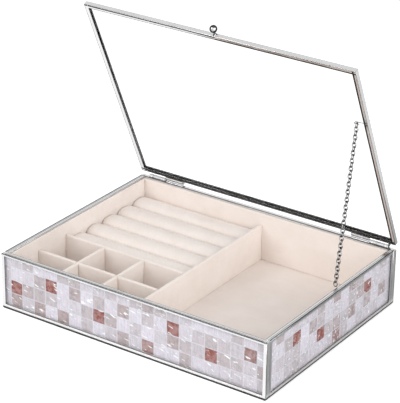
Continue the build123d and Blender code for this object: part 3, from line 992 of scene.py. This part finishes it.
def roll_outline(half, height, steps):
    """Half outline of a roll across its length, from the foot's middle to the crown."""
    foot = half - 0.9 * MM
    shoulder = half - 0.7 * MM
    side_top = height - 6.0 * MM
    points = [(foot * step / 3, 0) for step in range(3)]
    for step in range(steps + 1):
        share = step / steps
        bow = 1 - (2 * share - 1) ** 2
        points.append((foot + (shoulder - foot) * share + (half - (foot + shoulder) / 2) * bow,
                       side_top * share))
    for step in range(1, steps + 1):
        turn = pi / 2 * (step / steps)
        points.append((shoulder * cos(turn), side_top + (height - side_top) * sin(turn) ** 0.9))
    return points


def padded_roll(node_name, number, velvet):
    """A foam roll in velvet: closed ends drawn in, creases that run from them, and a soft crown."""
    end_draw, end_length = 1.6 * MM, 3.2 * MM
    crease_depth, crease_length = 0.35 * MM, 16 * MM
    low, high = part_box(node_name)
    length = high.x - low.x
    half = (high.y - low.y) / 2
    height = high.z - low.z
    middle = (low.y + high.y) / 2
    outline = roll_outline(half, height, 7)
    ring = outline + [(-y, z) for y, z in reversed(outline[1:-1])]
    chance = Random(number)
    creases = [(chance.uniform(0, 2 * pi), chance.uniform(0.5, 1)) for _ in range(9)]
    stations = 44
    shape = bmesh.new()
    rows = []
    for station in range(stations + 1):
        along = station / stations
        x = low.x + length * along
        end = min(along, 1 - along) * length
        pinch = end_draw * max(0, 1 - end / end_length) ** 2
        row = []
        for y, z in ring:
            angle = atan2(z - height / 2, y)
            crease = sum(weight * max(0, cos(angle - place)) ** 24 for place, weight in creases)
            crease *= crease_depth * max(0, 1 - end / crease_length)
            dip = velvet.sink * 1.6 * (0.5 + 0.5 * noise.noise(Vector((x, y + middle, z)) / (11 * MM)))
            inset = pinch + crease + dip
            row.append(shape.verts.new((x, middle + y * (1 - inset / half),
                                        low.z + height / 2 + (z - height / 2) * (1 - 2 * inset / height))))
        rows.append(row)
    for first, second in zip(rows, rows[1:]):
        for index in range(len(ring)):
            following = (index + 1) % len(ring)
            shape.faces.new((first[index], first[following], second[following], second[index]))
    for row in (rows[0], rows[-1]):
        shape.faces.new(row)
    bmesh.ops.recalc_face_normals(shape, faces=shape.faces)
    caps = [face for face in shape.faces if len(face.verts) > 4]
    bmesh.ops.inset_region(shape, faces=caps, thickness=1.2 * MM, depth=0.0)
    return mesh_from(shape, node_name, sharp_from=radians(80))


class JEWELRYBOX_OT_rolls(bpy.types.Operator):
    """Pad the ring rolls side by side in their bay"""
    bl_idname = "jewelrybox.rolls"
    bl_label = "Ring Rolls"

    def execute(self, context):
        cloth = velvet_material("roll_velvet", (0.0, 0.0, radians(90)))
        for number in range(1, ROLL_COUNT + 1):
            node_name = "ring_roll_%d" % number
            mesh = padded_roll(node_name, number, settings().velvet)
            piece = new_piece("padded_" + node_name, mesh, "box", (node_name,), cloth)
        return {"FINISHED"}


# Stay chain and its eyes

def chain_tree():
    """Geometry Nodes: oval wire links, each a quarter turn from the last, along a straight line."""
    tree, given, result = new_group(
        "Oval Link Chain", "GeometryNodeTree",
        (("Geometry", "Geometry", None), ("Links", "Int", 6), ("Pitch", "Float", 0.003),
         ("Wire", "Float", 0.0008), ("Width", "Float", 0.0036), ("Slack", "Float", 0.0001),
         ("Start", "Vector", None), ("Lean", "Float", 0.0), ("Metal", "Material", None)),
        (("Geometry", "Geometry", None),))
    length = plus(tree, plus(tree, given["Pitch"], given["Slack"]), given["Wire"])
    width = minus(tree, given["Width"], given["Wire"])
    outline = made(tree, "GeometryNodeCurvePrimitiveQuadrilateral", {"Width": width, "Height": length})
    oval = made(tree, "GeometryNodeFilletCurve", {
        "Curve": outline, "Radius": times(tree, width, 0.499), "Count": 5}, mode="POLY")
    section = made(tree, "GeometryNodeCurvePrimitiveCircle", {
        "Resolution": 8, "Radius": times(tree, given["Wire"], 0.5)})
    link = made(tree, "GeometryNodeCurveToMesh", {"Curve": oval, "Profile Curve": section})
    upright = made(tree, "GeometryNodeTransform", {"Geometry": link, "Rotation": (pi / 2, 0, 0)})
    centre = minus(tree, given["Pitch"], times(tree, length, 0.5))
    line = made(tree, "GeometryNodeMeshLine", {
        "Count": given["Links"], "Start Location": vector(tree, Z=centre),
        "Offset": vector(tree, Z=given["Pitch"])})
    odd = calculate(tree, "MODULO", made(tree, "GeometryNodeInputIndex"), 2.0)
    quarter = times(tree, minus(tree, 1.0, odd), pi / 2)
    placed = made(tree, "GeometryNodeInstanceOnPoints", {
        "Points": line, "Instance": upright, "Rotation": vector(tree, Z=quarter)})
    real = made(tree, "GeometryNodeRealizeInstances", {"Geometry": placed})
    hung = made(tree, "GeometryNodeTransform", {
        "Geometry": real, "Translation": given["Start"], "Rotation": vector(tree, X=given["Lean"])})
    smooth = made(tree, "GeometryNodeSetShadeSmooth", {"Geometry": hung})
    done = made(tree, "GeometryNodeSetMaterial", {"Geometry": smooth, "Material": given["Metal"]})
    tree.links.new(done, result.inputs["Geometry"])
    return tree


class JEWELRYBOX_OT_chain(bpy.types.Operator):
    """Hang the stay chain's links from the lid to the rim"""
    bl_idname = "jewelrybox.chain"
    bl_label = "Stay Chain"

    def execute(self, context):
        chain = settings().chain
        tree = chain_tree()
        numbers = range(CHAIN_BODIES, 0, -1)
        places = [Vector(JOINTS["chain_pivot_%d" % number]["pos_m"]) for number in numbers]
        step = places[1] - places[0]
        for number, place in zip(numbers, places):
            mesh = evaluated_mesh(bpy.data.meshes.new("chain_seed"), tree, {
                "Links": chain.links, "Pitch": step.length / chain.links, "Wire": chain.wire,
                "Width": chain.width, "Slack": chain.slack, "Start": tuple(place),
                "Lean": atan2(-step.y, step.z), "Metal": bpy.data.materials["round_nickel"]})
            name = "chain_%d" % number
            new_piece(name + "_links", mesh, name, (name,))
        return {"FINISHED"}


def round_wire(name, points, diameter):
    """A mesh of round wire with closed ends along a line of points."""
    curve = bpy.data.curves.new(name, "CURVE")
    curve.dimensions = "3D"
    curve.bevel_depth = diameter / 2
    curve.bevel_resolution = 4
    curve.use_fill_caps = True
    spline = curve.splines.new("POLY")
    spline.points.add(len(points) - 1)
    for point, place in zip(spline.points, points):
        point.co = (*place, 1)
    carrier = add_object(name, curve)
    mesh = plain_mesh(carrier)
    bpy.data.objects.remove(carrier)
    for polygon in mesh.polygons:
        polygon.use_smooth = len(polygon.vertices) <= 4
    return mesh


def new_eye(name, node_name, body, place, thin, wide, first):
    """A wire eye in the room of its CAD node: a half turn between two legs, one side's leg first."""
    points = [place.inverted() @ vertex.co for vertex in frame["nodes"][node_name].data.vertices]
    low, high = (Vector([pick(point[axis] for point in points) for axis in range(3)]) for pick in (min, max))
    wire = high[thin] - low[thin]
    bend = (high[wide] - low[wide] - wire) / 2
    centre = (low + high) / 2
    centre.x = low.x + wire / 2 + bend
    across = Vector([first * bend * (axis == wide) for axis in range(3)])
    steps = 14
    line = [centre + across * cos(pi * step / steps) - Vector((bend * sin(pi * step / steps), 0, 0))
            for step in range(steps + 1)]
    legs = []
    for side, end in ((first, line[0]), (-first, line[-1])):
        reached = max(point.x for point in points if (point[wide] - centre[wide]) * side > bend / 2)
        legs.append(Vector((reached, end.y, end.z)))
    mesh = round_wire(name, legs[:1] + line + legs[1:], wire)
    mesh.transform(place)
    new_piece(name, mesh, body, (node_name,), bpy.data.materials["round_nickel"])


class JEWELRYBOX_OT_eyes(bpy.types.Operator):
    """Bend the two wire eyes that hold the chain"""
    bl_idname = "jewelrybox.eyes"
    bl_label = "Chain Eyes"

    def execute(self, context):
        new_eye("rim_eye", "box_chain_eye", "box", Matrix.Identity(4), thin=2, wide=1, first=-1)
        new_eye("rail_eye", "lid_chain_eye", "lid", lid_turn(), thin=1, wide=2, first=1)
        return {"FINISHED"}


def solder_drop(name, centre, size, seed, solder):
    """A low uneven drop of solder, its lower half in the metal that it joins."""
    shape = bmesh.new()
    bmesh.ops.create_icosphere(shape, subdivisions=4, radius=1.0)
    for vertex in shape.verts:
        swell = 1 + 0.16 * noise.noise(vertex.co * 1.7 + Vector((seed, 0, 0)))
        vertex.co = vertex.co * size * swell + centre
    new_piece(name, mesh_from(shape, name), "box", (), solder)


class JEWELRYBOX_OT_solder(bpy.types.Operator):
    """Add the drops of solder at the corners, the hinges and the chain's eye"""
    bl_idname = "jewelrybox.solder"
    bl_label = "Solder"

    def execute(self, context):
        solder = metal_material("solder", 0.3, 0.22, 4 * MM)
        low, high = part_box("front_came")
        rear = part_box("back_came")[1].y
        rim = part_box("right_came")[1]
        inset = 2.2 * MM  # from a corner or a knuckle's end to a drop's middle
        sunk = rim.z - 0.1 * MM
        for number, (x, y) in enumerate(((low.x, low.y), (high.x, low.y), (low.x, rear), (high.x, rear))):
            place = Vector((x - inset * (1 if x > 0 else -1), y - inset * (1 if y > 0 else -1), sunk))
            solder_drop("corner_solder_%d" % number, place, CORNER_DROP, number, solder)
        near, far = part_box("box_chain_eye")
        middle = (near + far) / 2
        beside = Vector((rim.x - 2.6 * MM, middle.y - 9.3 * MM, sunk))
        solder_drop("eye_solder", beside, RIM_DROP, 9, solder)
        solder_drop("eye_foot_solder", Vector((far.x, middle.y, middle.z)), FOOT_DROP, 10, solder)
        for side in ("left", "right"):
            near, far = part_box(side + "_hinge_box_knuckle")
            for number, x in enumerate((near.x + inset, far.x - inset)):
                place = Vector((x, near.y + 1.0 * MM, rim.z + 0.1 * MM))
                solder_drop("%s_hinge_solder_%d" % (side, number), place, HINGE_DROP, 20 + number, solder)
        return {"FINISHED"}


# Stage

def ray_kinds(tree):
    """Two masks: rays that a shiny piece has reflected, and the others from the eye, also through glass."""
    path = add_node(tree, "ShaderNodeLightPath").outputs
    mirrored = calculate(tree, "GREATER_THAN", path["Glossy Depth"], 0.5)
    seen = calculate(tree, "MAXIMUM", path["Is Camera Ray"], path["Is Transmission Ray"])
    return mirrored, times(tree, seen, minus(tree, 1.0, mirrored))


def floor_material(stage):
    """Pale floor, white to the eye where nothing shades it; beside the right wall darker only to the metal,
    as a painted reflection.
    """
    eye_glow, metal_glow, darkening, far_share = 0.45, 0.37, 0.45, 0.6
    material, tree, coordinates, output = new_material("pale_floor")
    mirrored, direct = ray_kinds(tree)
    grain = made(tree, "ShaderNodeTexNoise", {"Vector": coordinates, "Scale": 6.0, "Detail": 2.0})
    worn = remap(tree, grain, 0.0, 1.0, 0.99, 1.0)
    # Painted reflection: the floor beside the right wall is darker only where the metal mirrors it
    sideways = add_node(tree, "ShaderNodeSeparateXYZ", {0: coordinates}).outputs["X"]
    near = remap(tree, sideways, 125 * MM, 130 * MM)
    far = remap(tree, sideways, 200 * MM, 240 * MM)
    beside = minus(tree, near, times(tree, far, far_share))
    kept = minus(tree, 1.0, times(tree, times(tree, mirrored, beside), darkening))
    matt = made(tree, "ShaderNodeBsdfDiffuse", {
        "Color": shaded(tree, (*stage.floor, 1), times(tree, worn, kept))})
    reflected = times(tree, mirrored, times(tree, minus(tree, 1.0, beside), metal_glow))
    level = plus(tree, times(tree, direct, eye_glow), reflected)
    glow = made(tree, "ShaderNodeEmission", {"Color": (1, 1, 1, 1), "Strength": level})
    above = made(tree, "ShaderNodeAddShader", {0: matt, 1: glow})
    beneath = add_node(tree, "ShaderNodeNewGeometry").outputs["Backfacing"]
    shown = made(tree, "ShaderNodeMixShader", {
        0: beneath, 1: above, 2: made(tree, "ShaderNodeBsdfTransparent")})
    tree.links.new(shown, output.inputs["Surface"])
    return material


def light_world(stage):
    """A white room that lights the box gently. Metal sees a lamp and darker places in it."""
    world = bpy.data.worlds.new("white_room")
    world.use_nodes = True
    tree = world.node_tree
    tree.nodes.clear()
    output = add_node(tree, "ShaderNodeOutputWorld")
    mirrored, direct = ray_kinds(tree)
    direction = add_node(tree, "ShaderNodeTexCoord").outputs["Generated"]
    height = add_node(tree, "ShaderNodeSeparateXYZ", {0: direction}).outputs["Z"]
    # Greys that metal mirrors, from straight below (0) to straight above (1)
    greys = ((0.0, 0.5), (0.5, 0.85), (0.62, 0.95), (0.77, 0.9), (0.83, 0.35), (0.89, 0.06), (0.97, 0.6))
    room = ramp_of(tree, plus(tree, times(tree, height, 0.5), 0.5),
                   [(place, (level, level, level)) for place, level in greys])
    lamp_way = add_node(tree, "ShaderNodeVectorMath", {0: direction, 1: (-0.51, 0.17, 0.84)},
                        operation="DOT_PRODUCT").outputs["Value"]
    reflected = blend_colours(tree, remap(tree, lamp_way, 0.9, 0.97), room, (0.85, 0.85, 0.85))
    fill, mirror, white = (
        made(tree, "ShaderNodeBackground", {"Color": tint, "Strength": strength}) for tint, strength in (
            ((0.97, 0.985, 1.0, 1), remap(tree, height, 0.0, 1.0, stage.fill, stage.fill * 0.5)),
            (reflected, 1.0),
            ((1, 1, 1, 1), 1.0)))
    lit = made(tree, "ShaderNodeMixShader", {0: mirrored, 1: fill, 2: mirror})
    mix = made(tree, "ShaderNodeMixShader", {0: direct, 1: lit, 2: white})
    tree.links.new(mix, output.inputs["Surface"])
    bpy.context.scene.world = world


def add_lamp(name, place, size, watts):
    """A soft square lamp that looks at the box."""
    lamp = bpy.data.lights.new(name, "AREA")
    lamp.shape = "SQUARE"
    lamp.size = size
    lamp.energy = watts
    holder = add_object(name, lamp)
    holder.location = place
    middle_of_box = Vector((0, 0, 30 * MM))
    holder.rotation_euler = (middle_of_box - Vector(place)).to_track_quat("-Z", "Y").to_euler()


def add_camera(stage):
    """The camera at the photograph's place, looking the photograph's way."""
    back = Vector((sin(stage.azimuth) * cos(stage.elevation), -cos(stage.azimuth) * cos(stage.elevation),
                   sin(stage.elevation)))
    right = (-back).cross(UP).normalized()
    up = right.cross(-back)
    across = right * cos(stage.roll) + up * sin(stage.roll)
    above = up * cos(stage.roll) - right * sin(stage.roll)
    camera = bpy.data.cameras.new("camera")
    camera.sensor_width = SENSOR
    camera.lens = stage.focal
    camera.clip_start = 0.05
    holder = add_object("camera", camera)
    turn = Matrix((across, above, back)).transposed().to_4x4()
    holder.matrix_world = Matrix.Translation(stage.place) @ turn
    bpy.context.scene.camera = holder


class JEWELRYBOX_OT_stage(bpy.types.Operator):
    """Set the floor, the lights and the camera"""
    bl_idname = "jewelrybox.stage"
    bl_label = "Stage"

    def execute(self, context):
        stage = settings().stage
        shape = bmesh.new()
        bmesh.ops.create_grid(shape, x_segments=8, y_segments=8, size=6.0)  # reaches 6 m each way
        mesh = bpy.data.meshes.new("floor")
        shape.to_mesh(mesh)
        shape.free()
        mesh.materials.append(floor_material(stage))
        ground = add_object("floor", mesh)
        ground.location.z = -0.1 * MM  # clear of the felt's own face
        light_world(stage)
        add_lamp("key_light", (-0.7, -1.35, 1.05), 1.3, 12.5)
        add_lamp("side_light", (1.5, -0.45, 0.8), 1.2, 13.5)
        add_camera(stage)
        context.scene.view_settings.view_transform = "Standard"
        return {"FINISHED"}


# Panel and registration

class JEWELRYBOX_PT_finish(bpy.types.Panel):
    """Lists the steps that dress the jewelry box"""
    bl_idname = "JEWELRYBOX_PT_finish"
    bl_label = "Jewelry Box"
    bl_space_type = "VIEW_3D"
    bl_region_type = "UI"
    bl_category = "Jewelry Box"

    def draw(self, context):
        for step in STEPS:
            self.layout.operator(step.bl_idname)


STEPS = (JEWELRYBOX_OT_stage, JEWELRYBOX_OT_came, JEWELRYBOX_OT_hinges, JEWELRYBOX_OT_knob,
         JEWELRYBOX_OT_glass, JEWELRYBOX_OT_bottom, JEWELRYBOX_OT_mosaic, JEWELRYBOX_OT_lining,
         JEWELRYBOX_OT_rolls, JEWELRYBOX_OT_chain, JEWELRYBOX_OT_eyes, JEWELRYBOX_OT_solder)
CLASSES = (MosaicSettings, MetalSettings, VelvetSettings, ChainSettings, KnobSettings, StageSettings,
           JewelryBoxSettings) + STEPS + (JEWELRYBOX_PT_finish,)


def register():
    for each in CLASSES:
        bpy.utils.register_class(each)
    bpy.types.Scene.jewelry_box = PointerProperty(type=JewelryBoxSettings)


def unregister():
    del bpy.types.Scene.jewelry_box
    for each in reversed(CLASSES):
        bpy.utils.unregister_class(each)


def main():
    register()
    mottle_group()
    stretch_group()
    for step in STEPS:
        name = step.bl_idname.split(".")[1]
        getattr(bpy.ops.jewelrybox, name)()


if __name__ == "__main__":
    main()
